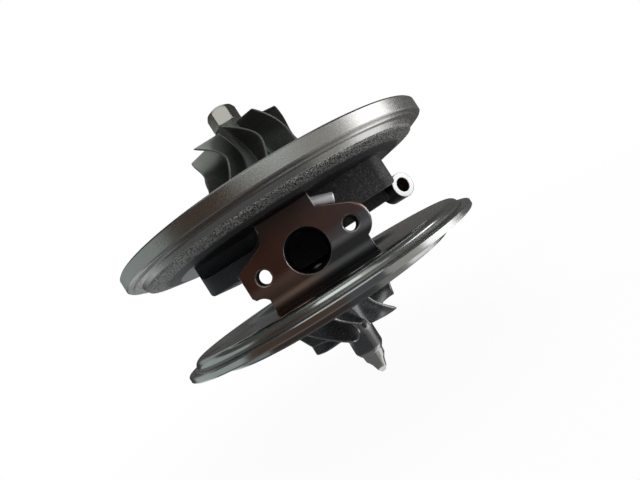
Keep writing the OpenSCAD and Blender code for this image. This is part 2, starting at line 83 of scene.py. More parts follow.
# Marks of the lathe tool: fine rings round the axis, and a slow change of tone round the turn
turned_marks, took, gave = group_of("turned_marks",
    {"Place": "Vector", "Lines per metre": "Float"}, {"Lines": "Float", "Tone": "Float"})
x, y, z = axes_of(turned_marks, took["Place"])
reach = reach_of(turned_marks, x, y)
ring_out = calc(turned_marks, "MULTIPLY", reach, took["Lines per metre"])
ring_up = calc(turned_marks, "MULTIPLY", z, took["Lines per metre"])
way_x = calc(turned_marks, "DIVIDE", x, reach)
way_y = calc(turned_marks, "DIVIDE", y, reach)
ring_at = put(turned_marks, "ShaderNodeCombineXYZ", {0: ring_out, 1: ring_up, 2: way_x}).outputs[0]
lines = put(turned_marks, "ShaderNodeTexNoise", {"Vector": ring_at, "W": way_y, "Scale": 1.0,
    "Detail": 3.0, "Roughness": 0.6}, noise_dimensions="4D").outputs["Fac"]
slow_at = put(turned_marks, "ShaderNodeVectorMath", {0: took["Place"], 1: (1.0, 1.0, 0.2)},
    operation="MULTIPLY").outputs["Vector"]
turned_marks.links.new(lines, gave["Lines"])
turned_marks.links.new(noise(turned_marks, slow_at, 55.0, 3.0), gave["Tone"])


def fade(tree, value, low, high, start=0.0, end=1.0):
    """A smooth change from start to end, while the value goes from low to high."""
    ends = {"Value": value, "From Min": low, "From Max": high, "To Min": start, "To Max": end}
    return put(tree, "ShaderNodeMapRange", ends, interpolation_type="SMOOTHSTEP").outputs["Result"]


def weighed(tree, a, share_a, b, share_b):
    """The sum of two values, each by its own share."""
    return calc(tree, "ADD", calc(tree, "MULTIPLY", a, share_a), calc(tree, "MULTIPLY", b, share_b))


# Skin of a blasted casting: coarse grains with pits between, and bright specks on the grains
cast_skin, took, gave = group_of("cast_skin",
    {"Place": "Vector", "Grains per metre": "Float"}, {"Height": "Float", "Speck": "Float"})
grain = noise(cast_skin, took["Place"], took["Grains per metre"], 4.0, 0.7)
pits = put(cast_skin, "ShaderNodeTexVoronoi", {"Vector": took["Place"],
    "Scale": took["Grains per metre"]}, feature="SMOOTH_F1").outputs["Distance"]
cast_skin.links.new(weighed(cast_skin, grain, 1.0, pits, -0.35), gave["Height"])
cast_skin.links.new(fade(cast_skin, grain, 0.5, 0.68), gave["Speck"])


def both(tree, mask, *others):
    """Where every one of these masks holds."""
    for other in others:
        mask = calc(tree, "MULTIPLY", mask, other)
    return mask


# Broken edges: a rounded normal, and a mask of the outer edges, which the finishes paint bright,
# partly as handling wear and partly as a painted edge highlight
mm = 0.001
edge_wear_and_highlight, took, gave = group_of("edge_wear_and_highlight",
    {"Radius": "Float"}, {"Edge": "Float", "Normal": "Vector"})
rounded = put(edge_wear_and_highlight, "ShaderNodeBevel", {"Radius": took["Radius"]}, samples=12).outputs[0]
sharp = put(edge_wear_and_highlight, "ShaderNodeNewGeometry").outputs["Normal"]
alike = put(edge_wear_and_highlight, "ShaderNodeVectorMath", {0: rounded, 1: sharp},
    operation="DOT_PRODUCT").outputs["Value"]
open_air = put(edge_wear_and_highlight, "ShaderNodeAmbientOcclusion", {"Distance": 1.2 * mm},
    samples=4).outputs["AO"]
edge = both(edge_wear_and_highlight, fade(edge_wear_and_highlight, alike, 0.985, 0.86), fade(edge_wear_and_highlight, open_air, 0.55, 0.9))
edge_wear_and_highlight.links.new(edge, gave["Edge"])
edge_wear_and_highlight.links.new(rounded, gave["Normal"])


def finish_of(name, metallic=1.0):
    """A new material, its tree, and the place on the piece that its patterns read."""
    made = bpy.data.materials.new(name)
    made.use_nodes = True
    tree = made.node_tree
    tree.nodes["Principled BSDF"].inputs["Metallic"].default_value = metallic
    return made, tree, put(tree, "ShaderNodeTexCoord").outputs["Object"]


def placed(tree, group, **inputs):
    named = {label.replace("_", " "): value for label, value in inputs.items()}
    return put(tree, "ShaderNodeGroup", named, node_tree=group).outputs


def above(tree, value, limit, soft):
    """A mask of what lies past a limit, with a soft edge so wide on each side, in millimetres."""
    return fade(tree, value, (limit - soft) * mm, (limit + soft) * mm)


def below(tree, value, limit, soft):
    return fade(tree, value, (limit + soft) * mm, (limit - soft) * mm)


disc_top, disc_fillet_top, disc_fillet_in, disc_fillet_out = 5.7, 3.15, 55.1, 56.15
drain_face_y, drain_foot_y, drain_foot_z = -38.3, -33.0, 10.8
drain_ear_x, drain_ear_y, drain_dull_z = 18.2, -34.85, 14.5
port_x, port_y, port_z, port_turn = 39.2, -19.0, 18.0, math.radians(26)
port_face_r, port_face_front, port_face_back = 4.6, 0.25, -7.8
port_bore_r, port_bore_front = 2.54, -0.2
edge_r, ear_edge_r, disc_edge_r, disc_fillet_r = 0.45 * mm, 1.2 * mm, 0.1 * mm, 0.6 * mm

housing_finish, tree, place = finish_of("housing_casting")
x, y, z = axes_of(tree, place)
reach = reach_of(tree, x, y)
skin = placed(tree, cast_skin, Place=place, Grains_per_metre=1700.0)
marks = placed(tree, turned_marks, Place=place, Lines_per_metre=2600.0)

# Where each tool has worked: the disc and the fillet on it, the drain flange, and the port's face
disc = below(tree, z, disc_top, 0.1)
fillet = both(tree, disc, below(tree, z, disc_fillet_top, 0.15),
    above(tree, reach, disc_fillet_in, 0.1), below(tree, reach, disc_fillet_out, 0.15))
foot = both(tree, below(tree, z, drain_foot_z, 1.0), below(tree, y, drain_foot_y, 0.5))
milled = calc(tree, "MAXIMUM", below(tree, y, drain_face_y, 0.1), foot)
ear = both(tree, above(tree, x, drain_ear_x, 1.0), below(tree, y, drain_ear_y, 0.35))
off_x = calc(tree, "SUBTRACT", x, port_x * mm)
off_y = calc(tree, "SUBTRACT", y, port_y * mm)
off_z = calc(tree, "SUBTRACT", z, port_z * mm)
port_side = weighed(tree, off_x, math.cos(port_turn), off_y, math.sin(port_turn))
port_front = weighed(tree, off_x, math.sin(port_turn), off_y, -math.cos(port_turn))
port_out = reach_of(tree, port_side, off_z)
faced = both(tree, below(tree, port_out, port_face_r, 0.05),
    below(tree, port_front, port_face_front, 0.05),
    above(tree, port_front, port_face_back, 0.1))
hole = both(tree, below(tree, port_out, port_bore_r, 0.02),
    below(tree, port_front, port_bore_front, 0.1))
smooth = calc(tree, "MAXIMUM", calc(tree, "MAXIMUM", disc, milled), faced)


def mix(tree, mask, a, b):
    return put(tree, "ShaderNodeMix", {0: mask, 2: a, 3: b}).outputs[0]


def tint(tree, mask, a, b):
    a, b = [(*c, 1.0) if isinstance(c, tuple) else c for c in (a, b)]
    return put(tree, "ShaderNodeMix", {0: mask, 6: a, 7: b}, data_type="RGBA").outputs[2]


# The casting is lighter and bluish on the left, a painted sheen that lifts the shaded scoop; it is
# darker and more speckled on the right, and paler behind
right_from, back_from = 12.0, 5.0
right_side = above(tree, x, right_from, 4.0)
speck = calc(tree, "MULTIPLY", skin["Speck"], mix(tree, right_side, 0.12, 0.62))
# The lighter bluish left tone is a painted sheen over the scoop's shade
cast_tone = tint(tree, right_side, (0.070, 0.075, 0.085), (0.060, 0.060, 0.063))
cast_tone = tint(tree, above(tree, y, back_from, 7.0), cast_tone, (0.085, 0.086, 0.09))
cast_tone = tint(tree, speck, cast_tone, (0.20, 0.20, 0.205))
# The turned disc is bright, darker below height zero, and darker in the concave fillet as painted
# shade
disc_tone = tint(tree, marks["Tone"], (0.46, 0.47, 0.46), (0.62, 0.63, 0.62))
disc_tone = tint(tree, below(tree, z, 0.0, 0.1), disc_tone, (0.33, 0.33, 0.33))
# Painted shade in the concave fillet
disc_tone = tint(tree, fillet, disc_tone, (0.24, 0.24, 0.235))
# Drain flange: a painted brown reflection, painted shade at its top and its foot, and a grey
# painted highlight over painted shade on its lower right
painted_shade_top, painted_shade_foot, painted_highlight_left, painted_highlight_top, painted_highlight_foot = 25.25, 12.4, -0.5, 17.75, 13.3
# The milled face's brown is a painted reflection of brown surroundings
milled_tone = tint(tree, marks["Tone"], (0.29, 0.185, 0.165), (0.37, 0.24, 0.215))
# Painted shade at the flange's top, towards the plate
milled_tone = tint(tree, above(tree, z, painted_shade_top, 5.75), milled_tone, (0.060, 0.046, 0.046))
# Painted shade at the foot, which dims a reflected strip
milled_tone = tint(tree, below(tree, z, painted_shade_foot, 3.6), milled_tone, (0.15, 0.098, 0.080))
# A grey painted highlight band on the lower right, with painted shade below it
painted_highlight_zone = both(tree, above(tree, x, painted_highlight_left, 7.5), below(tree, z, painted_highlight_top, 1.75))
highlight_and_shade_tone = tint(tree, below(tree, z, painted_highlight_foot, 1.3), (0.40, 0.405, 0.415),
    (0.085, 0.083, 0.088))
milled_tone = tint(tree, painted_highlight_zone, milled_tone, highlight_and_shade_tone)
colour = tint(tree, disc, tint(tree, milled, cast_tone, milled_tone), disc_tone)
colour = tint(tree, faced, colour, (0.52, 0.52, 0.53))
colour = tint(tree, hole, colour, (0.26, 0.20, 0.18))
edge_radius = mix(tree, disc, mix(tree, ear, edge_r, ear_edge_r),
    mix(tree, fillet, disc_edge_r, disc_fillet_r))
wear_and_shine = placed(tree, edge_wear_and_highlight, Radius=edge_radius)
# Bright edges: partly handling wear, partly a painted edge highlight
housing_wear_and_shine = calc(tree, "MULTIPLY", wear_and_shine["Edge"], mix(tree, ear, 0.5, 0.05))
colour = tint(tree, housing_wear_and_shine, colour, (0.72, 0.72, 0.71))


def ranged(tree, pattern, start, end):
    """The middle part of a noise pattern, stretched to go from start to end."""
    return fade(tree, pattern, 0.3, 0.7, start, end)


def relief(tree, height, strength, depth, normal=None):
    """The normal of a surface with fine relief, over a smooth or an edge-rounded normal."""
    made = put(tree, "ShaderNodeBump", {"Strength": strength, "Distance": depth, "Height": height})
    if normal is not None:
        tree.links.new(normal, made.inputs["Normal"])
    return made.outputs[0]


def dress(tree, colour, roughness, normal=None, metallic=None):
    """Gives the shader all that changes over the surface."""
    shader = tree.nodes["Principled BSDF"].inputs
    values = {"Base Color": colour, "Roughness": roughness, "Normal": normal, "Metallic": metallic}
    for label, value in values.items():
        if value is not None:
            tree.links.new(value, shader[label])


def coat_nodes(material, *names):
    for name in names:
        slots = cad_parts[name].data.materials
        slots.clear()
        slots.append(material)


rough = mix(tree, smooth, 0.44, ranged(tree, marks["Tone"], 0.11, 0.18))
rough = mix(tree, both(tree, milled, below(tree, z, drain_dull_z, 2.0)), rough, 0.42)
disc_rough = mix(tree, fillet, ranged(tree, marks["Tone"], 0.14, 0.20), 0.42)
rough = mix(tree, faced, mix(tree, disc, rough, disc_rough), 0.34)
cast_height = calc(tree, "MULTIPLY", skin["Height"], 0.4)
turned_height = calc(tree, "MULTIPLY", marks["Lines"], 0.0015)
height = mix(tree, smooth, cast_height, turned_height)
dress(tree, colour, rough, relief(tree, height, 1.0, 0.7 * mm, wear_and_shine["Normal"]),
    mix(tree, smooth, 0.7, 1.0))
coat_nodes(housing_finish, "bearing_housing")


# Gallery plug: a zinc-plated steel plug that closes an oil drilling. It is turned from bar and
# screwed into the drain flange's right shoulder.
plug_finish, tree, place = finish_of("plated_steel_painted_bright", metallic=0.35)
dull = noise(tree, place, 900.0, 4.0)
wear_and_shine = placed(tree, edge_wear_and_highlight, Radius=0.3 * mm)
# The near-white tone is partly the bright plating and partly painted light that lifts the plug out
# of the plate's shade
dress(tree, tint(tree, dull, (0.88, 0.87, 0.89), (0.97, 0.96, 0.98)),
    ranged(tree, dull, 0.28, 0.42), relief(tree, dull, 0.5, 0.2 * mm, wear_and_shine["Normal"]))
coat_nodes(plug_finish, "gallery_plug")


# Journal bearings and thrust bearing: leaded bronze, turned all over. The journal bearings float
# on oil in the housing's bore, and two pins keep the thrust bearing from turning.
bronze_finish, tree, place = finish_of("turned_bronze")
marks = placed(tree, turned_marks, Place=place, Lines_per_metre=5200.0)
dress(tree, tint(tree, marks["Tone"], (0.42, 0.22, 0.08), (0.66, 0.40, 0.17)),
    ranged(tree, marks["Tone"], 0.22, 0.36), relief(tree, marks["Lines"], 0.4, 0.04 * mm))
coat_nodes(bronze_finish, "journal_bearing_compressor", "journal_bearing_turbine",
    "thrust_bearing")


# Shaft and the small steel pieces round it: hardened and ground steel. Spacer, pins and piston
# rings stand in the housing; collar and flinger are clamped on the shaft by the nut.
ground_finish, tree, place = finish_of("ground_steel")
marks = placed(tree, turned_marks, Place=place, Lines_per_metre=6000.0)
wear_and_shine = placed(tree, edge_wear_and_highlight, Radius=0.2 * mm)
dress(tree, tint(tree, marks["Tone"], (0.42, 0.42, 0.43), (0.60, 0.60, 0.61)),
    ranged(tree, marks["Tone"], 0.16, 0.28),
    relief(tree, marks["Lines"], 0.35, 0.03 * mm, wear_and_shine["Normal"]))
coat_nodes(ground_finish, "turbine_shaft", "bearing_spacer", "thrust_pin_1", "thrust_pin_2",
    "thrust_collar", "oil_flinger", "compressor_piston_ring", "turbine_piston_ring_1",
    "turbine_piston_ring_2")


# Turbine wheel: one casting of heat-resisting alloy, friction-welded to the shaft. Long and short
# blades stand in turn on the hub, and the six-sided nose is ground for balancing.
scene = bpy.context.scene
nose_root_z, nose_ground_z = -19.5, -26.7
alloy_finish, tree, place = finish_of("turbine_alloy", metallic=0.88)
z = axes_of(tree, place)[2]
skin = placed(tree, cast_skin, Place=place, Grains_per_metre=2600.0)
wear_and_shine = placed(tree, edge_wear_and_highlight, Radius=0.7 * mm)
ground = below(tree, z, nose_ground_z, 0.5)
alloy_tone = tint(tree, skin["Speck"], (0.30, 0.304, 0.314), (0.33, 0.334, 0.344))
alloy_tone = tint(tree, below(tree, z, nose_root_z, 1.0), alloy_tone, (0.18, 0.183, 0.19))
alloy_tone = tint(tree, ground, alloy_tone, (0.62, 0.62, 0.61))
# Near-white blade edges: partly wear, partly a painted edge highlight
dress(tree, tint(tree, wear_and_shine["Edge"], alloy_tone, (0.95, 0.95, 0.95)),
    mix(tree, ground, fade(tree, skin["Height"], 0.1, 0.6, 0.23, 0.28), 0.16),
    relief(tree, skin["Height"], 0.05, 0.12 * mm, wear_and_shine["Normal"]))

# A ring of like blades round the axis
blade_ring, took, gave = group_of("blade_ring", {"Blade": "Geometry", "Blades": "Int",
    "First angle": "Float", "Metal": "Material"}, {"Ring": "Geometry"}, "GeometryNodeTree")
seats = put(blade_ring, "GeometryNodePoints", {"Count": took["Blades"]}).outputs[0]
step = calc(blade_ring, "DIVIDE", 2 * math.pi, took["Blades"])
number = put(blade_ring, "GeometryNodeInputIndex").outputs[0]
angle = calc(blade_ring, "ADD", calc(blade_ring, "MULTIPLY", number, step), took["First angle"])
turn = put(blade_ring, "ShaderNodeCombineXYZ", {2: angle}).outputs[0]
ring = put(blade_ring, "GeometryNodeInstanceOnPoints", {"Points": seats,
    "Instance": took["Blade"], "Rotation": turn}).outputs[0]
whole = put(blade_ring, "GeometryNodeRealizeInstances", {0: ring}).outputs[0]
metalled = put(blade_ring, "GeometryNodeSetMaterial", {"Geometry": whole,
    "Material": took["Metal"]}).outputs[0]
blade_ring.links.new(metalled, gave["Ring"])


def lerp(a, b, share):
    return a + (b - a) * share


def round_z(radius, height, degrees):
    a = math.radians(degrees)
    return (radius * math.sin(a), -radius * math.cos(a), height)


def mesh_of(name, points, faces):
    mesh = bpy.data.meshes.new(name)
    mesh.from_pydata(points, [], faces)
    mesh.update()
    return mesh


def shown(name, mesh, *materials):
    made = bpy.data.objects.new(name, mesh)
    scene.collection.objects.link(made)
    for material in materials:
        mesh.materials.append(material)
    return made


# Stations of every blade: along from inlet to outlet, and across from inside the hub to the tip
blade_along = [0.0, 0.03] + [0.03 + 0.94 * k / 20 for k in range(1, 20)] + [0.97, 1.0]
blade_across = [-0.06, 0.02, 0.06, 0.12, 0.22, 0.35, 0.5, 0.65, 0.8, 0.92, 0.975, 1.0]


def blade_thickness(root, tip, fillet, thin_end):
    """A blade's thickness over its face, with a fillet at the hub and thinner ends."""
    def thickness(t, v):
        ends = thin_end if t in (0.0, 1.0) else 1.0
        foot = fillet * math.sin(math.pi * t) * math.exp(-max(v, 0) / 0.05)
        return (lerp(root, tip, v) + foot) * ends
    return thickness


def blade_shell(name, middle, thickness):
    """A closed shell round a blade's middle surface, which is given in millimetres."""
    rows, columns = len(blade_along), len(blade_across)
    at = [[Vector(middle(t, v)) for v in blade_across] for t in blade_along]
    points = []
    for side in (1, -1):
        for i, t in enumerate(blade_along):
            for j, v in enumerate(blade_across):
                du = at[min(i + 1, rows - 1)][j] - at[max(i - 1, 0)][j]
                dv = at[i][min(j + 1, columns - 1)] - at[i][max(j - 1, 0)]
                off = du.cross(dv).normalized() * (side * thickness(t, v) / 2)
                points.append((at[i][j] + off) * mm)
    half = rows * columns
    faces = []
    for i in range(rows - 1):
        for j in range(columns - 1):
            a = i * columns + j
            quad = (a, a + columns, a + columns + 1, a + 1)
            faces.append(quad)
            faces.append(tuple(half + k for k in reversed(quad)))
    rim = list(range(columns)) + [i * columns + columns - 1 for i in range(1, rows)]
    rim += [(rows - 1) * columns + j for j in range(columns - 2, -1, -1)]
    rim += [i * columns for i in range(rows - 2, 0, -1)]
    for a, b in zip(rim, rim[1:] + rim[:1]):
        faces.append((a, b, half + b, half + a))
    return mesh_of(name, points, faces)


def turned_mesh(name, profile, segments=160):
    """A profile of (radius, height) in millimetres turned round Z, from axis to axis or joined."""
    joined_up = profile[0] == profile[-1]
    points, rings, faces = [], [], []
    for r, h in profile[:-1] if joined_up else profile:
        stands = segments if r else 1
        rings.append([len(points) + k % stands for k in range(segments)])
        for k in range(stands):
            a = 2 * math.pi * k / segments
            points.append((r * math.cos(a) * mm, r * math.sin(a) * mm, h * mm))
    if joined_up:
        rings.append(rings[0])
    for low, high in zip(rings, rings[1:]):
        for k in range(segments):
            n = (k + 1) % segments
            faces.append(tuple(dict.fromkeys((low[k], high[k], high[n], low[n]))))
    return mesh_of(name, points, faces)


def bladed(name, shell, count, first, metal):
    """One rounded blade, set round the axis and made a plain mesh."""
    piece = shown(name, shell)
    rounded = piece.modifiers.new("Rounded", "SUBSURF")
    rounded.levels = rounded.render_levels = 1
    ring = piece.modifiers.new("Ring", "NODES")
    ring.node_group = blade_ring
    values = {"Blades": count, "First angle": math.radians(first), "Metal": metal}
    for socket in blade_ring.interface.items_tree:
        if socket.name in values:
            ring[socket.identifier] = values[socket.name]
    graph = bpy.context.evaluated_depsgraph_get()
    mesh = bpy.data.meshes.new_from_object(piece.evaluated_get(graph), depsgraph=graph)
    piece.modifiers.clear()
    piece.data = mesh
    return piece


def one_casting(name, *pieces):
    """Joins the pieces of a wheel and keeps only its real edges sharp."""
    casting = pieces[0]
    with bpy.context.temp_override(active_object=casting, selected_editable_objects=list(pieces)):
        bpy.ops.object.join()
    casting.name = name
    casting.data.shade_smooth()
    casting.data.set_sharp_from_angle(angle=math.radians(32))
    return casting


turb_len, turb_cut, turb_nose = 19.0, 14.0, 36.8
turb_hub_r, turb_in_r, turb_out_r = 5.75, 22.5, 18.1
turb_in_z, turb_in_h = -1.9, 4.6
turb_wrap, turb_wrap_power, turb_tip_cut = 45, 1.6, 0.08
turb_count, turb_long_first, turb_short_first = 5, -50, -14
weld_boss_r, weld_boss_top, weld_boss_foot = 8.6, 1.0, -0.4


def turb_hub(t):
    s = math.radians(90 * t)
    return (lerp(turb_hub_r, turb_in_r, (1 - math.sin(s)) ** 1.1),
        lerp(turb_in_z, -turb_len, (1 - math.cos(s)) ** 0.9))


def turb_tip(t):
    return lerp(turb_out_r, turb_in_r, (1 - t) ** 2), lerp(turb_in_z - turb_in_h, -turb_len, t)


def turb_middle(short):
    """The middle surface of a long blade, or of a short one whose tip ends at the cut."""
    tip_top = turb_in_z - turb_in_h
    cut = (turb_cut + tip_top) / (turb_len + tip_top)

    def middle(s, v):
        t = s * (lerp(1, cut, max(v, 0)) if short else 1 - turb_tip_cut * max(v, 0) ** 5)
        hub, tip = turb_hub(t), turb_tip(t)
        return round_z(lerp(hub[0], tip[0], v), lerp(hub[1], tip[1], v),
            turb_wrap * t ** turb_wrap_power)
    return middle


turb_thickness = blade_thickness(root=1.5, tip=0.75, fillet=1.5, thin_end=0.62)
long_blades = bladed("turbine_long_blades", blade_shell("long_blade", turb_middle(False),
    turb_thickness), turb_count, turb_long_first, alloy_finish)
short_blades = bladed("turbine_short_blades", blade_shell("short_blade", turb_middle(True),
    turb_thickness), turb_count, turb_short_first, alloy_finish)

nose = turb_nose - turb_len
back_z = turb_in_z + 0.9
hub_profile = [(0, weld_boss_top), (weld_boss_r, weld_boss_top), (weld_boss_r, weld_boss_foot),
    (weld_boss_r + 0.8, back_z), (turb_in_r - 0.2, back_z), (turb_in_r, back_z - 0.2)]
hub_profile += [turb_hub(k / 28) for k in range(29)]
for share, down in ((1, 0.40), (0.97, 0.43), (0.82, 0.51), (0, 0.52)):
    hub_profile.append((share * turb_hub_r, -turb_len - down * nose))
turbine_hub = shown("turbine_hub", turned_mesh("turbine_hub", hub_profile), alloy_finish)

nose_profile = []
for share, down in ((0, 0.46), (0.80, 0.46), (0.80, 0.50), (0.70, 0.66), (0.58, 0.72),
        (0.47, 0.78), (0.33, 0.93), (0.17, 1.0), (0, 1.0)):
    nose_profile.append((share * turb_hub_r, -turb_len - down * nose))
turbine_nose = shown("turbine_nose", turned_mesh("turbine_nose", nose_profile, 48), alloy_finish)
nose_corner_r, sixth = 0.86 * turb_hub_r * mm, math.pi / 3
for point in turbine_nose.data.vertices:
    off_flat = (math.atan2(point.co.y, point.co.x) + sixth / 2) % sixth - sixth / 2
    limit = nose_corner_r * math.cos(sixth / 2) / math.cos(off_flat)
    out = math.hypot(point.co.x, point.co.y)
    if out > limit:
        point.co.x *= limit / out
        point.co.y *= limit / out

turbine_wheel = one_casting("turbine_wheel_casting", turbine_hub, turbine_nose, long_blades,
    short_blades)
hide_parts("turbine_wheel")
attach(turbine_wheel, "rotor")


# Heat shield: a dish of thin stainless sheet that keeps the exhaust's heat off the bearings. It is
# pressed to shape and clamped between the housing and the turbine side.
shield_finish, tree, place = finish_of("heat_shield_sheet")
marks = placed(tree, turned_marks, Place=place, Lines_per_metre=1800.0)
dress(tree, tint(tree, marks["Tone"], (0.20, 0.19, 0.18), (0.38, 0.36, 0.33)),
    ranged(tree, marks["Tone"], 0.24, 0.42), relief(tree, marks["Lines"], 0.3, 0.06 * mm))
coat_nodes(shield_finish, "heat_shield")


# O-ring: a moulded ring of black nitrile rubber that keeps the oil in. The backplate presses it
# into its groove against the housing.
rubber_finish, tree, place = finish_of("nitrile_rubber", metallic=0.0)
dull = noise(tree, place, 2500.0, 3.0)
dress(tree, tint(tree, dull, (0.012, 0.012, 0.012), (0.03, 0.03, 0.031)),
    ranged(tree, dull, 0.5, 0.7))
coat_nodes(rubber_finish, "backplate_o_ring")


# Backplate: an iron disc, turned on its rim, its band and its compressor face. The cone under the
# band keeps its shot casting skin. Four screws hold it to the housing.
cone_foot, cone_top, cone_inner_r = 31.25, 33.9, 49.2
plate_face, plate_chamfer, plate_chamfer_r = 40.65, 40.5, 60.5

plate_finish, tree, place = finish_of("backplate_iron")
x, y, z = axes_of(tree, place)
reach = reach_of(tree, x, y)
skin = placed(tree, cast_skin, Place=place, Grains_per_metre=2300.0)
marks = placed(tree, turned_marks, Place=place, Lines_per_metre=3000.0)
wear_and_shine = placed(tree, edge_wear_and_highlight, Radius=0.18 * mm)
satin = noise(tree, place, 3600.0, 2.0)
cone = both(tree, below(tree, z, cone_top, 0.2), above(tree, z, cone_foot, 0.03))
under = below(tree, z, cone_foot, 0.03)
faced = above(tree, z, plate_face, 0.15)
chamfer = both(tree, above(tree, z, plate_chamfer, 0.1), above(tree, reach, plate_chamfer_r, 0.1))

# The shot's dents lie as on a drum round the plate, so the flat cone doesn't stretch them
flat = put(tree, "ShaderNodeCombineXYZ", {0: x, 1: y}).outputs[0]
way_out = put(tree, "ShaderNodeVectorMath", {0: flat}, operation="NORMALIZE").outputs["Vector"]
drum = put(tree, "ShaderNodeVectorMath", {0: way_out, "Scale": 52.0 * mm},
    operation="SCALE").outputs["Vector"]
drum_up = put(tree, "ShaderNodeCombineXYZ", {2: weighed(tree, z, 1.5, reach, 0.3)}).outputs[0]
drum_at = put(tree, "ShaderNodeVectorMath", {0: drum, 1: drum_up}).outputs["Vector"]
shot = fade(tree, noise(tree, drum_at, 3500.0, 1.5), 0.485, 0.60)
cone_tone = tint(tree, shot, (0.022, 0.022, 0.022), (0.64, 0.64, 0.62))
cone_tone = tint(tree, below(tree, reach, cone_inner_r, 1.1), cone_tone, (0.058, 0.058, 0.066))

rim_tone = tint(tree, marks["Tone"], (0.38, 0.375, 0.365), (0.50, 0.495, 0.48))
colour = tint(tree, cone, rim_tone, cone_tone)
colour = tint(tree, under, colour, (0.15, 0.155, 0.165))
# Bright edges: partly handling wear, partly a painted edge highlight
colour = tint(tree, calc(tree, "MULTIPLY", wear_and_shine["Edge"], 0.4), colour, (0.70, 0.70, 0.69))
colour = tint(tree, chamfer, colour, (0.17, 0.17, 0.165))
rim_rough = mix(tree, faced, ranged(tree, satin, 0.22, 0.36),
    ranged(tree, marks["Lines"], 0.22, 0.32))
rough = mix(tree, under, mix(tree, cone, rim_rough, 0.5), 0.34)
rim_height = weighed(tree, marks["Lines"], mix(tree, faced, 0.014, 0.03),
    satin, mix(tree, faced, 0.02, 0.004))
height = mix(tree, cone, rim_height, calc(tree, "MULTIPLY", skin["Height"], 0.7))
dress(tree, colour, rough, relief(tree, height, 1.0, 0.7 * mm, wear_and_shine["Normal"]),
    mix(tree, cone, 1.0, 0.5))
coat_nodes(plate_finish, "compressor_backplate")


# Backplate screws: four socket screws of black oxide steel, cold-headed with rolled threads. They
# clamp the plate to the housing, with their heads sunk in the compressor face.
oxide_finish, tree, place = finish_of("black_oxide_steel")
dull = noise(tree, place, 1400.0, 4.0)
wear_and_shine = placed(tree, edge_wear_and_highlight, Radius=0.3 * mm)
black = tint(tree, dull, (0.025, 0.025, 0.028), (0.07, 0.07, 0.075))
dress(tree, tint(tree, wear_and_shine["Edge"], black, (0.35, 0.35, 0.36)), ranged(tree, dull, 0.3, 0.48),
    wear_and_shine["Normal"])
coat_nodes(oxide_finish, *[f"backplate_screw_{k}" for k in (1, 2, 3, 4)])


# Compressor wheel: one casting of aluminium alloy with nine blades that lean back. It slides on
# the shaft's stub and is bored, faced and balanced before the nut clamps it.
wheel_finish, tree, place = finish_of("cast_aluminium", metallic=0.85)
skin = placed(tree, cast_skin, Place=place, Grains_per_metre=2200.0)
wear_and_shine = placed(tree, edge_wear_and_highlight, Radius=0.5 * mm)
matte = tint(tree, skin["Speck"], (0.137, 0.143, 0.13), (0.22, 0.227, 0.208))
# Lighter edges: partly rubbed wear, partly a painted edge highlight
rubbed_and_shine = calc(tree, "MULTIPLY", wear_and_shine["Edge"], 0.8)
dress(tree, tint(tree, rubbed_and_shine, matte, (0.46, 0.44, 0.40)),
    fade(tree, skin["Height"], 0.1, 0.6, 0.36, 0.5),
    relief(tree, skin["Height"], 0.35, 0.12 * mm, wear_and_shine["Normal"]))

comp_z, comp_len, comp_rake, comp_out_h, comp_back = 42.0, 26.0, 2.9, 4.0, 1.2
comp_hub_r, comp_in_r, comp_out_r, comp_bore_r = 6.4, 19.5, 26.2, 3.01
comp_wrap, comp_wrap_end, comp_lean = 31.5, 0.34, 28
comp_count, comp_first = 9, -10
comp_top = comp_z + comp_len + comp_rake + 1.6


def comp_hub(t):
    s = math.radians(90 * t)
    return (lerp(comp_hub_r, comp_out_r, (1 - math.cos(s)) ** 1.15),
        comp_z + comp_back + (comp_len + comp_rake - comp_back) * (1 - math.sin(s)))


def comp_tip(t):
    s = math.radians(90 * t)
    foot = comp_back + comp_out_h
    return (lerp(comp_in_r, comp_out_r, (1 - math.cos(s)) ** 1.25),
        comp_z + foot + (comp_len - foot) * (1 - math.sin(s)))


def comp_middle(t, v):
    """A blade's middle surface: it scoops forward at the inlet, then leans back to the rim."""
    hub, tip = comp_hub(t), comp_tip(t)
    if t < comp_wrap_end:
        turn = comp_wrap * math.sin(math.radians(90 * t / comp_wrap_end))
    else:
        turn = comp_wrap - comp_lean * (t - comp_wrap_end) ** 1.15
    return round_z(lerp(hub[0], tip[0], v), lerp(hub[1], tip[1], v), turn)


comp_thickness = blade_thickness(root=1.3, tip=0.7, fillet=1.4, thin_end=0.55)
comp_blades = bladed("compressor_blades", blade_shell("compressor_blade", comp_middle,
    comp_thickness), comp_count, comp_first, wheel_finish)
hub_profile = [(comp_bore_r, comp_top), (5.5, comp_top), (6.0, comp_top - 0.25),
    (6.25, comp_top - 0.8)]
hub_profile += [comp_hub(k / 28) for k in range(29)]
hub_profile += [(comp_out_r, comp_z + 0.5), (comp_out_r - 0.5, comp_z + 0.05),
    (comp_out_r - 1.2, comp_z), (comp_bore_r, comp_z), (comp_bore_r, comp_top)]
comp_core = shown("compressor_hub", turned_mesh("compressor_hub", hub_profile), wheel_finish)
compressor_wheel = one_casting("compressor_wheel_casting", comp_core, comp_blades)
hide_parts("compressor_wheel")
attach(compressor_wheel, "rotor")


# Shaft nut: bright steel, turned from hexagon bar. It is screwed on the shaft's end and clamps the
# wheel, the flinger and the collar together.
nut_finish, tree, place = finish_of("nut_steel")
marks = placed(tree, turned_marks, Place=place, Lines_per_metre=2200.0)
wear_and_shine = placed(tree, edge_wear_and_highlight, Radius=0.5 * mm)
dress(tree, tint(tree, marks["Tone"], (0.30, 0.275, 0.255), (0.48, 0.445, 0.42)),
    ranged(tree, marks["Tone"], 0.13, 0.22),
    relief(tree, marks["Lines"], 0.4, 0.06 * mm, wear_and_shine["Normal"]))
coat_nodes(nut_finish, "compressor_nut")


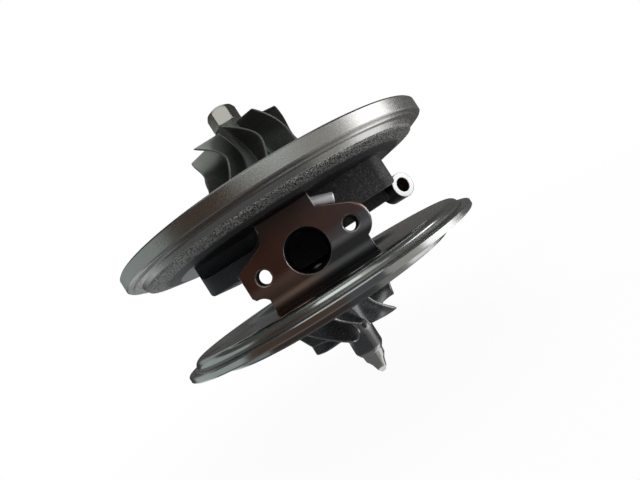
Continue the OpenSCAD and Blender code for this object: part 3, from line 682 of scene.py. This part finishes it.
# Studio: a pale floor under the cartridge, a white surround, soft lamps above, and cards that only
# the metal sees. The camera stands where the photograph was taken, turned with the cartridge.
camera = bpy.data.objects.new("camera", bpy.data.cameras.new("camera"))
scene.collection.objects.link(camera)
camera.data.sensor_width = 36.0
camera.data.lens = 24.99
camera.data.clip_start = 0.01
camera.location = (0.0, -0.1683, 0.01564)
camera.rotation_euler = [math.radians(a) for a in (90.7476, 32.5678, -1.6476)]
scene.camera = camera
scene.view_settings.view_transform = "Standard"


def background_rays(tree):
    """A mask of the rays that show the background, straight, mirrored or through glass."""
    rays = put(tree, "ShaderNodeLightPath").outputs
    turned = calc(tree, "MAXIMUM", rays["Is Glossy Ray"], rays["Is Transmission Ray"])
    return calc(tree, "MAXIMUM", rays["Is Camera Ray"], turned)


surround = bpy.data.worlds.new("white_surround")
scene.world = surround
surround.use_nodes = True
tree = surround.node_tree
sky = tree.nodes["Background"].inputs
sky["Color"].default_value = (1.0, 1.0, 1.0, 1.0)
tree.links.new(mix(tree, background_rays(tree), 0.6, 1.0), sky["Strength"])

floor_z, floor_half = -0.0372, 6.0
floor_corners = [(side_x * floor_half, side_y * floor_half, floor_z)
    for side_x, side_y in ((-1, -1), (1, -1), (1, 1), (-1, 1))]
floor_finish, tree, place = finish_of("pale_floor", metallic=0.0)
paint = tree.nodes["Principled BSDF"]
paint.inputs["Base Color"].default_value = (0.86, 0.86, 0.86, 1.0)
paint.inputs["Roughness"].default_value = 0.7
white = put(tree, "ShaderNodeEmission", {"Color": (1.0, 1.0, 1.0, 1.0), "Strength": 1.0})
away = put(tree, "ShaderNodeVectorMath", {0: place}, operation="LENGTH").outputs["Value"]
plain = calc(tree, "MULTIPLY", background_rays(tree), fade(tree, away, 0.06, 0.32, 0.95, 1.0))
lit = put(tree, "ShaderNodeMixShader", {0: plain, 1: paint.outputs[0], 2: white.outputs[0]})
tree.links.new(lit.outputs[0], tree.nodes["Material Output"].inputs["Surface"])
shown("floor", mesh_of("floor", floor_corners, [(0, 1, 2, 3)]), floor_finish)


def lamp(name, place, size, power, colour):
    """A soft lamp that faces the cartridge."""
    light = bpy.data.lights.new(name, "AREA")
    light.shape = "RECTANGLE"
    light.size, light.size_y = size
    light.energy = power
    light.color = colour
    made = bpy.data.objects.new(name, light)
    scene.collection.objects.link(made)
    made.location = place
    facing = Vector((0, 0, 0.02)) - Vector(place)
    made.rotation_euler = facing.to_track_quat("-Z", "Y").to_euler()


lamp("ceiling_lamp", (0.02, -0.05, 0.62), (0.42, 0.30), 1.1, (0.90, 1.0, 0.95))
lamp("window_lamp", (0.56, -0.10, 0.03), (0.34, 0.60), 1.3, (1.0, 1.0, 1.0))


def card(name, turn, rings, tone, stands=24):
    """A card that only the metal sees, bent round Z through rings of (radius, height) in metres."""
    points, faces = [], []
    for k in range(stands + 1):
        points += [round_z(r, h, lerp(*turn, k / stands)) for r, h in rings]
    for k in range(stands):
        for n in range(len(rings) - 1):
            first = k * len(rings) + n
            faces.append((first, first + len(rings), first + len(rings) + 1, first + 1))
    finish = bpy.data.materials.new(name)
    finish.use_nodes = True
    tree = finish.node_tree
    tree.nodes.remove(tree.nodes["Principled BSDF"])
    glow = put(tree, "ShaderNodeEmission", {"Color": (*tone, 1.0), "Strength": 1.0})
    tree.links.new(glow.outputs[0], tree.nodes["Material Output"].inputs["Surface"])
    made = shown(name, mesh_of(name, points, faces), finish)
    made.visible_camera = False
    made.visible_shadow = False
    made.visible_diffuse = False


table_z, wall_r, near_r, sill_z, eaves_z = -0.0369, 0.46, 0.20, 0.07, 0.235
middle, near, far = (0.003, table_z), (near_r, table_z), (wall_r, table_z)
sill, ledge, eaves, ridge = (wall_r, sill_z), (wall_r, 0.09), (wall_r, eaves_z), (near_r, 0.46)
strip_top = (0.30, 0.296)
strip = [(0.44, 0.159), (0.44, 0.226), strip_top]
card("left_card", (-128, -66), [near, far, eaves], (0.40, 0.45, 0.44))
card("near_table", (-128, 30), [middle, near], (0.13, 0.132, 0.136))
card("brown_card", (-66, -8), [near, far, eaves], (0.085, 0.056, 0.041))
card("front_card", (-8, 5), [near, far, sill], (0.085, 0.056, 0.044))
card("front_grey_card", (5, 30), [near, far, sill], (0.098, 0.102, 0.112))
card("front_high_card", (-8, 4), [sill, eaves], (0.24, 0.24, 0.215))
card("front_bright_card", (4, 30), [sill, eaves], (0.52, 0.53, 0.50))
card("front_strip", (-15, 22), strip, (1.18, 1.26, 1.22))
card("front_side_strip", (22, 36), strip, (0.52, 0.55, 0.53))
card("front_high_strip", (-15, 36), [strip_top, (0.22, 0.342)], (0.30, 0.31, 0.30))
card("zenith_card", (-180, 180), [ridge, (0.002, 0.47)], (0.78, 0.80, 0.78))
card("right_card", (30, 59), [middle, far, eaves], (0.42, 0.41, 0.385))
card("right_back_card", (93, 134), [middle, far, eaves], (0.11, 0.11, 0.108))
card("far_right_card", (134, 180), [middle, far, eaves], (0.10, 0.097, 0.095))
card("far_left_card", (-180, -128), [middle, far, ledge], (0.050, 0.045, 0.043))
card("far_left_high_card", (-180, -128), [ledge, eaves], (0.30, 0.33, 0.33))
card("left_table", (-180, -100), [(r, table_z + 0.0002) for r in (0.06, 0.30)], (0.9, 0.95, 0.95))
card("right_low_card", (24, 90), [(0.07, 0.0033), (0.07, 0.0118)], (0.10, 0.094, 0.086))
card("window_glow", (62, 104), [(0.06, table_z), far], (1.7, 1.7, 1.7))
card("canopy", (-150, 150), [eaves, ridge], (0.08, 0.085, 0.08), 60)
